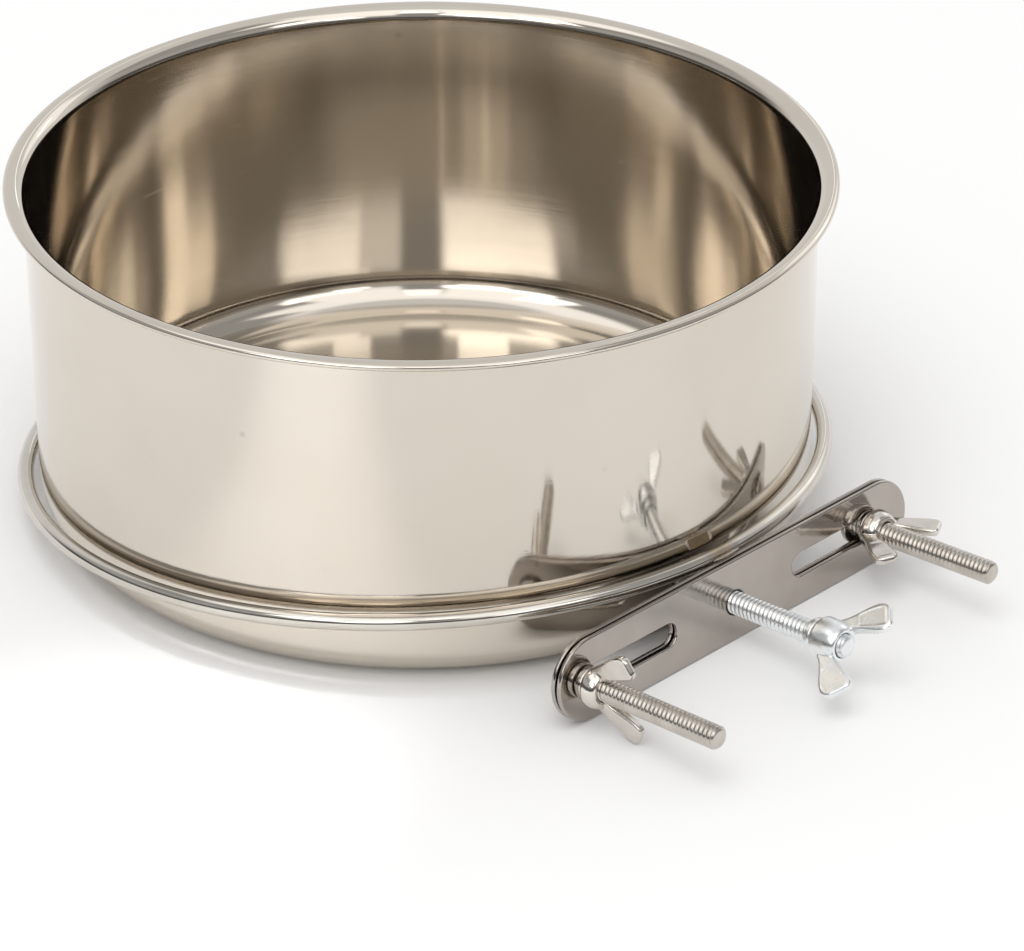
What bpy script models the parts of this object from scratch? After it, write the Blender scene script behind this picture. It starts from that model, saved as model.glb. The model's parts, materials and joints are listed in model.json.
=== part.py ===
import math

import bmesh
import bpy

MM = 0.001

# Cup: deep-drawn sheet with a flared lip and a rolled edge
RIM_DIAMETER = 170.0 * MM
CUP_HEIGHT = 73.1 * MM
CUP_SHEET = 0.7 * MM
BASE_CORNER_RADIUS = 8.5 * MM
CURL_WIDTH = 2.85 * MM
CURL_HEIGHT = 1.8 * MM
FLARE_RADIUS = 5.4 * MM
FLARE_ANGLE = math.radians(45)
CURL_START = math.radians(160)
CURL_END = math.radians(-135)

# Wire ring that the cup drops into
WIRE_DIAMETER = 3.4 * MM
RING_CLEARANCE = 1.25 * MM
RING_TWIST = math.radians(1.6)
RING_SHIFT_X = -0.5 * MM
RING_SHIFT_Y = -0.5 * MM
WELD_FLAT_LENGTH = 7.0 * MM
WELD_FLAT_DEPTH = 0.45 * MM

# Weld bead on the back plate's top edge, beside the wire
WELD_LENGTH = 7.4 * MM
WELD_WIDTH = 1.1 * MM
WELD_HEIGHT = 0.8 * MM

# Clamp plates
PLATE_LENGTH = 101.2 * MM
PLATE_SHIFT_X = 1.0 * MM
PLATE_HEIGHT = 17.5 * MM
PLATE_SHEET = 1.0 * MM
PLATE_GAP = 0.5 * MM
PLATE_RISE = 0.0 * MM
SLOT_START = 16.8 * MM
SLOT_MARGIN = 5.2 * MM
BOLT_PLAY = 0.4 * MM
SEAT_GAP = 0.3 * MM

# Threaded bolts, drawn at their major diameter
BOLT_DIAMETER = 4.76 * MM
BOLT_CHAMFER = 0.5 * MM
HEAD_DIAMETER = 8.4 * MM
HEAD_HEIGHT = 2.4 * MM
HEAD_EDGE = 0.7 * MM
DRIVE_WIDTH = 1.1 * MM
DRIVE_DEPTH = 1.1 * MM
LEFT_BOLT_INSET = 3.0 * MM
LEFT_BOLT_REACH = 35.0 * MM
RIGHT_BOLT_INSET = 5.4 * MM
RIGHT_BOLT_REACH = 32.6 * MM
CENTRE_BOLT_DROP = 0.6 * MM
CENTRE_BOLT_REACH = 29.6 * MM

# Washers
WASHER_DIAMETER = 7.0 * MM
WASHER_EDGE = 0.15 * MM
LEFT_WASHER_HEIGHT = 1.4 * MM
RIGHT_WASHER_HEIGHT = 0.4 * MM
CENTRE_WASHER_HEIGHT = 1.5 * MM
CENTRE_WASHER_STANDOFF = 20.7 * MM
RUNNING_GAP = 0.3 * MM

# Wing nuts: a domed hub with two raised ears, broader on the centre one
HUB_BASE_DIAMETER = 8.8 * MM
HUB_TOP_DIAMETER = 6.0 * MM
HUB_FOOT = 0.8 * MM
EAR_ROOT_OUT = 3.2 * MM
EAR_ROOT_WIDTH = 3.6 * MM
EAR_CORNER_RADIUS = 1.6 * MM
EAR_EDGE = 0.4 * MM
EAR_ROOT_THICKNESS = 2.9 * MM
EAR_TIP_THICKNESS = 1.7 * MM
SIDE_HUB_HEIGHT = 3.6 * MM
SIDE_EAR_ROOT_UP = 2.0 * MM
SIDE_EAR_TIP_OUT = 8.1 * MM
SIDE_EAR_TIP_UP = 11.4 * MM
SIDE_EAR_TIP_WIDTH = 5.2 * MM
CENTRE_HUB_HEIGHT = 6.0 * MM
CENTRE_EAR_ROOT_UP = 3.4 * MM
CENTRE_EAR_TIP_OUT = 9.6 * MM
CENTRE_EAR_TIP_UP = 11.7 * MM
CENTRE_EAR_TIP_WIDTH = 6.2 * MM
LEFT_NUT_ANGLE = math.radians(97)
RIGHT_NUT_ANGLE = math.radians(3)
CENTRE_NUT_ANGLE = math.radians(32)

# Facet counts
CUP_STEPS = 88
RING_STEPS = 96
WIRE_STEPS = 12
BOLT_STEPS = 24
HUB_STEPS = 24
ARC_STEPS = 6
END_STEPS = 16
CURL_STEPS = 12
TILT_ROUNDS = 40
CUTTER_EXTRA = 2.0 * MM
MERGE_DISTANCE = 0.01 * MM

# Finishes
STEEL = (0.62, 0.60, 0.57)
ZINC = (0.70, 0.72, 0.75)
WELDED = (0.38, 0.34, 0.30)
MIRROR_FINISH = 0.12
WIRE_FINISH = 0.14
PLATE_FINISH = 0.16
SCREW_FINISH = 0.2
ZINC_FINISH = 0.3
WELD_FINISH = 0.4

# Sizes that follow from the ones above
rim_radius = RIM_DIAMETER / 2
flare_reach = FLARE_RADIUS * (1 - math.cos(FLARE_ANGLE)) - CUP_SHEET * math.cos(FLARE_ANGLE)
wall_radius = rim_radius - CURL_WIDTH - flare_reach
wire_radius = WIRE_DIAMETER / 2
ring_radius = wall_radius + RING_CLEARANCE + wire_radius
back_plate_inner = ring_radius + wire_radius + SEAT_GAP
back_plate_outer = back_plate_inner + PLATE_SHEET
clamp_plate_inner = back_plate_outer + PLATE_GAP
clamp_plate_outer = clamp_plate_inner + PLATE_SHEET
plate_radius = PLATE_HEIGHT / 2
plate_level = PLATE_RISE - plate_radius
plate_foot = plate_radius - plate_level
bolt_radius = BOLT_DIAMETER / 2
slot_radius = bolt_radius + BOLT_PLAY / 2
slot_end = PLATE_LENGTH / 2 - SLOT_MARGIN
left_bolt_x = LEFT_BOLT_INSET - slot_end
right_bolt_x = slot_end - RIGHT_BOLT_INSET
head_seat = back_plate_inner - SEAT_GAP
bore_radius = bolt_radius + RUNNING_GAP
side_washer_seat = clamp_plate_outer + SEAT_GAP
centre_washer_seat = clamp_plate_outer + CENTRE_WASHER_STANDOFF
side_ear = (SIDE_EAR_ROOT_UP, SIDE_EAR_TIP_OUT, SIDE_EAR_TIP_UP, SIDE_EAR_TIP_WIDTH)
centre_ear = (CENTRE_EAR_ROOT_UP, CENTRE_EAR_TIP_OUT, CENTRE_EAR_TIP_UP, CENTRE_EAR_TIP_WIDTH)


def ring_drop(tilt):
    # How far the twisted ring's lowest centreline point lies below its centre
    return ring_radius * math.sqrt(1 - (math.cos(tilt) * math.cos(RING_TWIST)) ** 2)


def resting_tilt():
    # The tilt at which the ring's rear and the plate's foot both meet the ground
    tilt = 0.0
    for _ in range(TILT_ROUNDS):
        extra = ring_drop(tilt) - ring_radius * math.sin(tilt)
        rise = plate_foot * math.cos(tilt) - wire_radius - extra
        tilt = math.asin(rise / (ring_radius + back_plate_inner))
    return tilt


holder_tilt = resting_tilt()
holder_lift = ring_drop(holder_tilt) + wire_radius


def clear_scene():
    for obj in list(bpy.data.objects):
        bpy.data.objects.remove(obj, do_unlink=True)


def metal(name, colour, roughness):
    material = bpy.data.materials.new(name)
    material.use_nodes = True
    shader = material.node_tree.nodes["Principled BSDF"]
    shader.inputs["Base Color"].default_value = (*colour, 1.0)
    shader.inputs["Metallic"].default_value = 1.0
    shader.inputs["Roughness"].default_value = roughness
    return material


def place(name, mesh, parent=None, location=(0, 0, 0), material=None, turn=0.0):
    obj = bpy.data.objects.new(name, mesh)
    bpy.context.scene.collection.objects.link(obj)
    obj.parent = parent
    obj.location = location
    obj.rotation_euler = (turn, 0, 0)
    if material:
        mesh.materials.append(material)
    return obj


def hide_helper(obj):
    obj.hide_render = True
    obj.display_type = "WIRE"
    return obj


def lathe(name, profile, steps, closed=False, **placing):
    # The profile holds (radius, height) points that run down the outer side
    count = len(profile)
    edges = [(i, i + 1) for i in range(count - 1)]
    if closed:
        edges.append((count - 1, 0))
    mesh = bpy.data.meshes.new(name)
    mesh.from_pydata([(r, 0, z) for r, z in profile], edges, [])
    obj = place(name, mesh, **placing)
    screw = obj.modifiers.new("turn", "SCREW")
    screw.axis = "Z"
    screw.angle = 2 * math.pi
    screw.steps = steps
    screw.render_steps = steps
    screw.use_merge_vertices = True
    screw.merge_threshold = MERGE_DISTANCE
    screw.use_smooth_shade = True
    return obj


def cut(obj, cutter, operation="DIFFERENCE"):
    boolean = obj.modifiers.new(cutter.name, "BOOLEAN")
    boolean.operation = operation
    boolean.solver = "EXACT"
    boolean.object = cutter


def arc(centre_r, centre_z, radius, start, end, steps, height=None):
    tall = radius if height is None else height
    points = []
    for i in range(steps + 1):
        angle = start + (end - start) * i / steps
        points.append((centre_r + radius * math.cos(angle), centre_z + tall * math.sin(angle)))
    return points


def add_prism(bm, outline, low, high):
    # A closed body with this (x, z) outline, from y = low to y = high
    near = [bm.verts.new((x, low, z)) for x, z in outline]
    far = [bm.verts.new((x, high, z)) for x, z in outline]
    faces = [bm.faces.new(near), bm.faces.new(far[::-1])]
    for i in range(len(outline)):
        j = (i + 1) % len(outline)
        faces.append(bm.faces.new((near[j], near[i], far[i], far[j])))
    return faces


def finish_mesh(bm, name):
    bmesh.ops.recalc_face_normals(bm, faces=bm.faces)
    mesh = bpy.data.meshes.new(name)
    bm.to_mesh(mesh)
    bm.free()
    return mesh


def round_ended(start_x, end_x, radius, level=0.0):
    # Outline of a strip with full-round ends
    right = arc(end_x - radius, level, radius, -math.pi / 2, math.pi / 2, END_STEPS)
    left = arc(start_x + radius, level, radius, math.pi / 2, 3 * math.pi / 2, END_STEPS)
    return right + left


def make_cup(material):
    floor_radius = wall_radius - BASE_CORNER_RADIUS
    inner_corner = BASE_CORNER_RADIUS - CUP_SHEET
    flare_centre = wall_radius + FLARE_RADIUS
    curl_level = CUP_HEIGHT - CURL_HEIGHT / 2
    flare_start = curl_level - (FLARE_RADIUS + CUP_SHEET) * math.sin(FLARE_ANGLE)
    curl_half = CURL_WIDTH / 2
    wall = math.pi
    lip = math.pi - FLARE_ANGLE
    down = -math.pi / 2
    profile = [(0, CUP_SHEET)]
    profile += arc(floor_radius, BASE_CORNER_RADIUS, inner_corner, down, 0, ARC_STEPS)
    profile += arc(flare_centre, flare_start, FLARE_RADIUS + CUP_SHEET, wall, lip, ARC_STEPS // 2)
    profile += arc(
        rim_radius - curl_half, curl_level, curl_half, CURL_START, CURL_END, CURL_STEPS, CURL_HEIGHT / 2
    )
    profile += arc(flare_centre, flare_start, FLARE_RADIUS, lip, wall, ARC_STEPS // 2)
    profile += arc(floor_radius, BASE_CORNER_RADIUS, BASE_CORNER_RADIUS, 0, down, ARC_STEPS)
    profile.append((0, 0))
    return lathe("cup", profile, CUP_STEPS, material=material)


def make_ring(holder, material):
    circle = arc(ring_radius, 0, wire_radius, 0, -2 * math.pi, WIRE_STEPS)[:-1]
    ring = lathe("holder_ring", circle, RING_STEPS, closed=True, parent=holder, material=material)
    ring.rotation_euler = (0, RING_TWIST, 0)
    # The electrode's flat, on the wire's upper inner side at the weld
    bm = bmesh.new()
    bmesh.ops.create_cube(bm, size=1.0)
    bmesh.ops.scale(bm, vec=(WELD_FLAT_LENGTH, WIRE_DIAMETER, WIRE_DIAMETER), verts=bm.verts)
    flat = hide_helper(place("weld_flat_cutter", finish_mesh(bm, "weld_flat_cutter"), parent=holder))
    away = (2 * wire_radius - WELD_FLAT_DEPTH) * math.sqrt(0.5)
    flat.location = (0, -ring_radius + away, away)
    flat.rotation_euler = (math.pi / 4, 0, 0)
    cut(ring, flat)
    return ring


def make_weld(holder, material):
    bm = bmesh.new()
    bmesh.ops.create_uvsphere(bm, u_segments=END_STEPS, v_segments=CURL_STEPS, radius=0.5)
    bmesh.ops.scale(bm, vec=(WELD_LENGTH, WELD_WIDTH, WELD_HEIGHT), verts=bm.verts)
    out = back_plate_inner + WELD_WIDTH / 2
    up = PLATE_RISE + SEAT_GAP + WELD_HEIGHT / 2
    return place("plate_weld", finish_mesh(bm, "plate_weld"), holder, (0, -out, up), material)


def make_plate(name, holder, inner, outer, openings, material):
    bm = bmesh.new()
    left_end = PLATE_SHIFT_X - PLATE_LENGTH / 2
    outline = round_ended(left_end, left_end + PLATE_LENGTH, plate_radius)
    add_prism(bm, outline, inner - outer, 0)
    plate = place(name, finish_mesh(bm, name), holder, (0, -inner, plate_level), material)
    cut(plate, openings)
    return plate


def make_openings(holder):
    bm = bmesh.new()
    low = -clamp_plate_outer - CUTTER_EXTRA
    high = -back_plate_inner + CUTTER_EXTRA
    add_prism(bm, round_ended(SLOT_START, slot_end, slot_radius), low, high)
    add_prism(bm, round_ended(-slot_end, -SLOT_START, slot_radius), low, high)
    hole = arc(0, -CENTRE_BOLT_DROP, slot_radius, 0, 2 * math.pi, BOLT_STEPS)[:-1]
    add_prism(bm, hole, low, high)
    mesh = finish_mesh(bm, "plate_openings")
    return hide_helper(place("plate_openings", mesh, holder, (0, 0, plate_level)))


def make_bolt(name, holder, x, level, reach, material):
    # Local Z points outward from the head's bearing face
    length = clamp_plate_outer - head_seat + reach
    head = HEAD_DIAMETER / 2
    profile = [(0, length), (bolt_radius - BOLT_CHAMFER, length), (bolt_radius, length - BOLT_CHAMFER)]
    profile += [(bolt_radius, 0), (head, 0)]
    dome = arc(0, -HEAD_EDGE, head, 0, -math.pi / 2, ARC_STEPS, HEAD_HEIGHT - HEAD_EDGE)
    profile += dome[:-1] + [(0, -HEAD_HEIGHT)]
    where = {"parent": holder, "location": (x, -head_seat, level), "turn": math.pi / 2}
    bolt = lathe(name, profile, BOLT_STEPS, material=material, **where)
    bm = bmesh.new()
    bmesh.ops.create_cube(bm, size=1.0)
    size = (HEAD_DIAMETER + CUTTER_EXTRA, DRIVE_WIDTH, 2 * DRIVE_DEPTH)
    bmesh.ops.scale(bm, vec=size, verts=bm.verts)
    bmesh.ops.translate(bm, vec=(0, 0, -HEAD_HEIGHT), verts=bm.verts)
    slot_name = name + "_drive_cutter"
    cut(bolt, hide_helper(place(slot_name, finish_mesh(bm, slot_name), **where)))
    return bolt


def make_washer(name, holder, x, level, out, height, material):
    inner = bore_radius
    outer = WASHER_DIAMETER / 2
    edge = WASHER_EDGE
    profile = [(inner, height), (outer - edge, height), (outer, height - edge)]
    profile += [(outer, edge), (outer - edge, 0), (inner, 0)]
    where = {"parent": holder, "location": (x, -out, level), "turn": math.pi / 2}
    return lathe(name, profile, HUB_STEPS, closed=True, material=material, **where)


def ear_outline(root_up, tip_out, tip_up, tip_width):
    # Round its root circle and its two tip corners, as (out, up) points
    run = tip_out - EAR_ROOT_OUT
    rise = tip_up - root_up
    lean = math.atan2(rise, run)
    root = EAR_ROOT_WIDTH / 2
    corner_along = math.hypot(run, rise) - EAR_CORNER_RADIUS
    corner_across = tip_width / 2 - EAR_CORNER_RADIUS
    apart = math.hypot(corner_along, corner_across)
    turn = math.atan2(corner_across, corner_along) + math.acos((root - EAR_CORNER_RADIUS) / apart)
    flat = arc(corner_along, -corner_across, EAR_CORNER_RADIUS, -turn, 0, END_STEPS // 4)
    flat += arc(corner_along, corner_across, EAR_CORNER_RADIUS, 0, turn, END_STEPS // 4)
    flat += arc(0, 0, root, turn, 2 * math.pi - turn, END_STEPS // 4)
    points = []
    for along, across in flat:
        out = EAR_ROOT_OUT + along * math.cos(lean) - across * math.sin(lean)
        up = root_up + along * math.sin(lean) + across * math.cos(lean)
        points.append((out, up))
    return points


def add_ear(bm, angle, ear):
    # The ear thins from its root to its tip, and its rim is rounded
    outline = ear_outline(*ear)
    taper = (EAR_ROOT_THICKNESS - EAR_TIP_THICKNESS) / ear[1]
    sides = []
    for side in (-0.5, 0.5):
        row = []
        for out, up in outline:
            across = side * (EAR_ROOT_THICKNESS - taper * out)
            x = out * math.cos(angle) - across * math.sin(angle)
            y = out * math.sin(angle) + across * math.cos(angle)
            row.append(bm.verts.new((x, y, up)))
        sides.append(row)
    near, far = sides
    caps = [bm.faces.new(near), bm.faces.new(far[::-1])]
    for i in range(len(outline)):
        j = (i + 1) % len(outline)
        bm.faces.new((near[j], near[i], far[i], far[j]))
    rim = [edge for cap in caps for edge in cap.edges]
    bmesh.ops.bevel(bm, geom=rim, offset=EAR_EDGE, segments=2, profile=0.5, affect="EDGES")


def make_wing_nut(name, holder, x, level, out, angle, hub_height, ear, material):
    base = HUB_BASE_DIAMETER / 2
    top = HUB_TOP_DIAMETER / 2
    dome = arc(top, HUB_FOOT, base - top, math.pi / 2, 0, ARC_STEPS, hub_height - HUB_FOOT)
    profile = [(0, hub_height)] + dome + [(base, 0), (0, 0)]
    where = {"parent": holder, "location": (x, -out, level), "turn": math.pi / 2}
    nut = lathe(name, profile, HUB_STEPS, material=material, **where)
    bm = bmesh.new()
    add_ear(bm, angle, ear)
    add_ear(bm, angle + math.pi, ear)
    ears_name = name + "_ears"
    cut(nut, hide_helper(place(ears_name, finish_mesh(bm, ears_name), **where)), "UNION")
    tall = CENTRE_EAR_TIP_UP + CENTRE_EAR_TIP_WIDTH + CUTTER_EXTRA
    hole = [(0, tall), (bore_radius, tall), (bore_radius, -CUTTER_EXTRA), (0, -CUTTER_EXTRA)]
    cut(nut, hide_helper(lathe(name + "_bore_cutter", hole, BOLT_STEPS, **where)))
    return nut


def make_fastener(side, holder, x, level, reach, washer, nut, metals):
    washer_out, washer_height = washer
    angle, hub_height, ear = nut
    make_bolt(side + "_bolt", holder, x, level, reach, metals[0])
    make_washer(side + "_washer", holder, x, level, washer_out, washer_height, metals[1])
    nut_out = washer_out + washer_height + RUNNING_GAP
    make_wing_nut(side + "_wing_nut", holder, x, level, nut_out, angle, hub_height, ear, metals[2])


def fastener_metals(side, colour, roughness):
    names = ("bolt", "washer", "wing_nut")
    return [metal(f"{side}_{name}_metal", colour, roughness) for name in names]


clear_scene()

make_cup(metal("cup_steel", STEEL, MIRROR_FINISH))

holder_frame = bpy.data.objects.new("holder_frame", None)
bpy.context.scene.collection.objects.link(holder_frame)
holder_frame.location = (RING_SHIFT_X, RING_SHIFT_Y, holder_lift)
holder_frame.rotation_euler = (-holder_tilt, 0, 0)

make_ring(holder_frame, metal("wire_steel", STEEL, WIRE_FINISH))
make_weld(holder_frame, metal("weld_steel", WELDED, WELD_FINISH))
plate_openings = make_openings(holder_frame)
make_plate(
    "back_plate", holder_frame, back_plate_inner, back_plate_outer, plate_openings,
    metal("back_plate_steel", STEEL, PLATE_FINISH)
)
make_plate(
    "clamp_plate", holder_frame, clamp_plate_inner, clamp_plate_outer, plate_openings,
    metal("clamp_plate_steel", STEEL, PLATE_FINISH)
)

make_fastener(
    "left", holder_frame, left_bolt_x, plate_level, LEFT_BOLT_REACH,
    (side_washer_seat, LEFT_WASHER_HEIGHT), (LEFT_NUT_ANGLE, SIDE_HUB_HEIGHT, side_ear),
    fastener_metals("left", STEEL, SCREW_FINISH)
)
make_fastener(
    "right", holder_frame, right_bolt_x, plate_level, RIGHT_BOLT_REACH,
    (side_washer_seat, RIGHT_WASHER_HEIGHT), (RIGHT_NUT_ANGLE, SIDE_HUB_HEIGHT, side_ear),
    fastener_metals("right", STEEL, SCREW_FINISH)
)
make_fastener(
    "centre", holder_frame, 0.0, plate_level - CENTRE_BOLT_DROP, CENTRE_BOLT_REACH,
    (centre_washer_seat, CENTRE_WASHER_HEIGHT), (CENTRE_NUT_ANGLE, CENTRE_HUB_HEIGHT, centre_ear),
    fastener_metals("centre", ZINC, ZINC_FINISH)
)
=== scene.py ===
import json
import math

import bmesh
import bpy
from mathutils import Matrix, Vector, noise


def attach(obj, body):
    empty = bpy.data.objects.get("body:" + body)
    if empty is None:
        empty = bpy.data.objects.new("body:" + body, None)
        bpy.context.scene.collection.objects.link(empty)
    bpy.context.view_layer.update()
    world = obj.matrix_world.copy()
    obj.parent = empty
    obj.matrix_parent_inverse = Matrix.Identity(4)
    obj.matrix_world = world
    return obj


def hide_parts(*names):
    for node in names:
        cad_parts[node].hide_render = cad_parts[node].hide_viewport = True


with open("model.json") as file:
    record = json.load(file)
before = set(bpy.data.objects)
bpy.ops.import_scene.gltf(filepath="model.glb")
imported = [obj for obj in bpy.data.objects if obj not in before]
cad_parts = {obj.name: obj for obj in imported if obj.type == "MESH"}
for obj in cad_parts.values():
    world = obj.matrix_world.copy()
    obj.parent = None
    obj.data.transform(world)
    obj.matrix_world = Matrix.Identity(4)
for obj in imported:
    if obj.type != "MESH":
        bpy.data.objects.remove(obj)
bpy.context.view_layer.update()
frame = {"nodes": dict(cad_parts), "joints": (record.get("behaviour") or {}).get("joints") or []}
joints = {j["name"]: j for j in frame["joints"]}
scene = bpy.context.scene
mm = 0.001
print("frame loaded:", len(frame["nodes"]), "nodes")

# the holder leans on its plates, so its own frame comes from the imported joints
holder = {
    # where each screw stands, across and level, and how far out its nut's foot is from the ring's axis, mm
    "screwAt": {"left": (-42.4, -8.75), "right": (40.0, -8.75), "centre": (0.0, -9.35)},
    "nutOut": {"left": 90.513, "right": 89.513, "centre": 111.013},
    "wireTwist": 1.6,  # degrees, the ring against the plates
}
outAxis = Vector(joints["clamp_slide"]["axis"])
lean = Matrix.Rotation(-math.atan2(outAxis.z, -outAxis.y), 4, "X")
nutSpot = Vector(joints["left_nut_turn"]["pos_m"])
leftAcross, leftLevel = holder["screwAt"]["left"]
nutSeat = Vector((leftAcross, -holder["nutOut"]["left"], leftLevel))
holderSpace = Matrix.Translation(nutSpot - lean @ (nutSeat * mm)) @ lean


def fastenerSpace(side, out):  # on one of the screws, local Z runs outward along it
    across, level = holder["screwAt"][side]
    seat = Matrix.Translation(Vector((across, -out, level)) * mm)
    return holderSpace @ seat @ Matrix.Rotation(math.pi / 2, 4, "X")


def smooth(low, high, value):
    t = max(0.0, min(1.0, (value - low) / (high - low)))
    return t * t * (3 - 2 * t)


def arcPoints(centreR, centreZ, radius, start, end, count, tall=None):
    high = radius if tall is None else tall
    points = []
    for i in range(count + 1):
        a = math.radians(start + (end - start) * i / count)
        points.append((centreR + radius * math.cos(a), centreZ + high * math.sin(a)))
    return points


def linePoints(start, end, count):  # between the ends, both left out
    points = []
    for i in range(1, count + 1):
        points.append(tuple(s + (e - s) * i / (count + 1) for s, e in zip(start, end)))
    return points


def spinProfile(points, steps, closed=False):  # points are (radius, height) in mm
    bm = bmesh.new()
    turn = [2 * math.pi * i / steps for i in range(steps)]
    rings = []
    for r, z in points:
        if r < 1e-6:  # a point on the axis
            rings.append([bm.verts.new((0, 0, z * mm))])
            continue
        rings.append([bm.verts.new((r * math.cos(a) * mm, r * math.sin(a) * mm, z * mm)) for a in turn])
    following = rings[1:] + rings[:1] if closed else rings[1:]
    for one, two in zip(rings, following):
        joinRings(bm, one, two)
    return bm


def joinRings(bm, one, two):
    count = max(len(one), len(two))
    for i in range(count):
        j = (i + 1) % count
        if len(one) == 1:
            bm.faces.new((one[0], two[i], two[j]))
        elif len(two) == 1:
            bm.faces.new((one[i], two[0], one[j]))
        else:
            bm.faces.new((one[i], two[i], two[j], one[j]))


def shadeSmooth(mesh):
    for face in mesh.polygons:
        face.use_smooth = True


def meshFrom(name, bm):
    bmesh.ops.recalc_face_normals(bm, faces=bm.faces)
    mesh = bpy.data.meshes.new(name)
    bm.to_mesh(mesh)
    bm.free()
    shadeSmooth(mesh)
    return mesh


def addPiece(name, mesh, space, body, node, material):
    piece = bpy.data.objects.new(name, mesh)
    scene.collection.objects.link(piece)
    piece.matrix_world = space
    mesh.materials.clear()
    mesh.materials.append(material)
    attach(piece, body)
    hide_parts(node)


def modified(name, mesh, setUp):  # the mesh after the modifiers that setUp adds
    work = bpy.data.objects.new(name + "Work", mesh)
    scene.collection.objects.link(work)
    helpers = setUp(work) or []
    graph = bpy.context.evaluated_depsgraph_get()
    made = bpy.data.meshes.new_from_object(work.evaluated_get(graph))
    for helper in [work] + helpers:
        bpy.data.objects.remove(helper, do_unlink=True)
    shadeSmooth(made)
    made.name = name
    return made


def oneSkin(voxel, passes):  # a single soft skin over forms that overlap
    def setUp(work):
        remesh = work.modifiers.new("skin", "REMESH")
        remesh.mode = "VOXEL"
        remesh.voxel_size = voxel * mm
        soften = work.modifiers.new("soften", "SMOOTH")
        soften.iterations = passes

    return setUp


# shader groups, each shared by several finishes
def newGroup(name, inputs, outputs):
    group = bpy.data.node_groups.new(name, "ShaderNodeTree")
    for label, kind, value in inputs:
        socket = group.interface.new_socket(name=label, in_out="INPUT", socket_type="NodeSocket" + kind)
        if value is not None:
            socket.default_value = value
    for label, kind in outputs:
        group.interface.new_socket(name=label, in_out="OUTPUT", socket_type="NodeSocket" + kind)
    return group, group.nodes.new("NodeGroupInput"), group.nodes.new("NodeGroupOutput")


def feed(tree, socket, value):  # a number, a colour or the output of another node
    if isinstance(value, (int, float)):
        socket.default_value = value
    elif isinstance(value, tuple):
        socket.default_value = (*value, 1.0)
    else:
        tree.links.new(value, socket)


def mathNode(tree, kind, *values):
    node = tree.nodes.new("ShaderNodeMath")
    node.operation = kind
    for socket, value in zip(node.inputs, values):
        feed(tree, socket, value)
    return node.outputs[0]


def noiseNode(tree, vector, scale, detail=2.0, rough=0.5):
    node = tree.nodes.new("ShaderNodeTexNoise")
    tree.links.new(vector, node.inputs["Vector"])
    for label, value in (("Scale", scale), ("Detail", detail), ("Roughness", rough)):
        feed(tree, node.inputs[label], value)
    return node.outputs["Fac"]


def rangeNode(tree, value, low, high, toLow=0.0, toHigh=1.0):
    node = tree.nodes.new("ShaderNodeMapRange")
    node.interpolation_type = "SMOOTHSTEP"
    tree.links.new(value, node.inputs["Value"])
    for label, given in zip(("From Min", "From Max", "To Min", "To Max"), (low, high, toLow, toHigh)):
        node.inputs[label].default_value = given
    return node.outputs["Result"]


def mixColour(tree, factor, one, two, blend="MIX"):
    node = tree.nodes.new("ShaderNodeMix")
    node.data_type = "RGBA"
    node.blend_type = blend
    for i, value in ((0, factor), (6, one), (7, two)):  # the sockets that the colour mix uses
        feed(tree, node.inputs[i], value)
    return node.outputs[2]


def buildSpunPolish():  # polishing lines that run round the axis, on walls and floor alike
    group, into, out = newGroup(
        "spunPolish",
        [("Vector", "Vector", None), ("Lines", "Float", 2600.0), ("Run", "Float", 18.0)],
        [("Streak", "Float"), ("Fine", "Float")],
    )
    parts = group.nodes.new("ShaderNodeSeparateXYZ")
    group.links.new(into.outputs["Vector"], parts.inputs[0])
    x, y, z = parts.outputs
    square = mathNode(group, "ADD", mathNode(group, "MULTIPLY", x, x), mathNode(group, "MULTIPLY", y, y))
    radius = mathNode(group, "SQRT", square)
    across = mathNode(group, "MULTIPLY", mathNode(group, "ADD", z, radius), into.outputs["Lines"])
    joined = group.nodes.new("ShaderNodeCombineXYZ")
    for i, part in enumerate((x, y)):
        group.links.new(mathNode(group, "MULTIPLY", part, into.outputs["Run"]), joined.inputs[i])
    group.links.new(across, joined.inputs[2])
    group.links.new(noiseNode(group, joined.outputs[0], 0.35, 3.0, 0.6), out.inputs["Streak"])
    group.links.new(noiseNode(group, joined.outputs[0], 1.0, 2.0, 0.5), out.inputs["Fine"])
    return group


def buildDrawnGrain():  # straight drawing and rolling lines along one axis
    group, into, out = newGroup(
        "drawnGrain",
        [("Vector", "Vector", None), ("Stretch", "Vector", (40.0, 1800.0, 1800.0))],
        [("Streak", "Float"), ("Fine", "Float")],
    )
    scaled = group.nodes.new("ShaderNodeVectorMath")
    scaled.operation = "MULTIPLY"
    group.links.new(into.outputs["Vector"], scaled.inputs[0])
    group.links.new(into.outputs["Stretch"], scaled.inputs[1])
    group.links.new(noiseNode(group, scaled.outputs[0], 0.3, 3.0, 0.6), out.inputs["Streak"])
    group.links.new(noiseNode(group, scaled.outputs[0], 1.0, 2.0, 0.5), out.inputs["Fine"])
    return group


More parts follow.
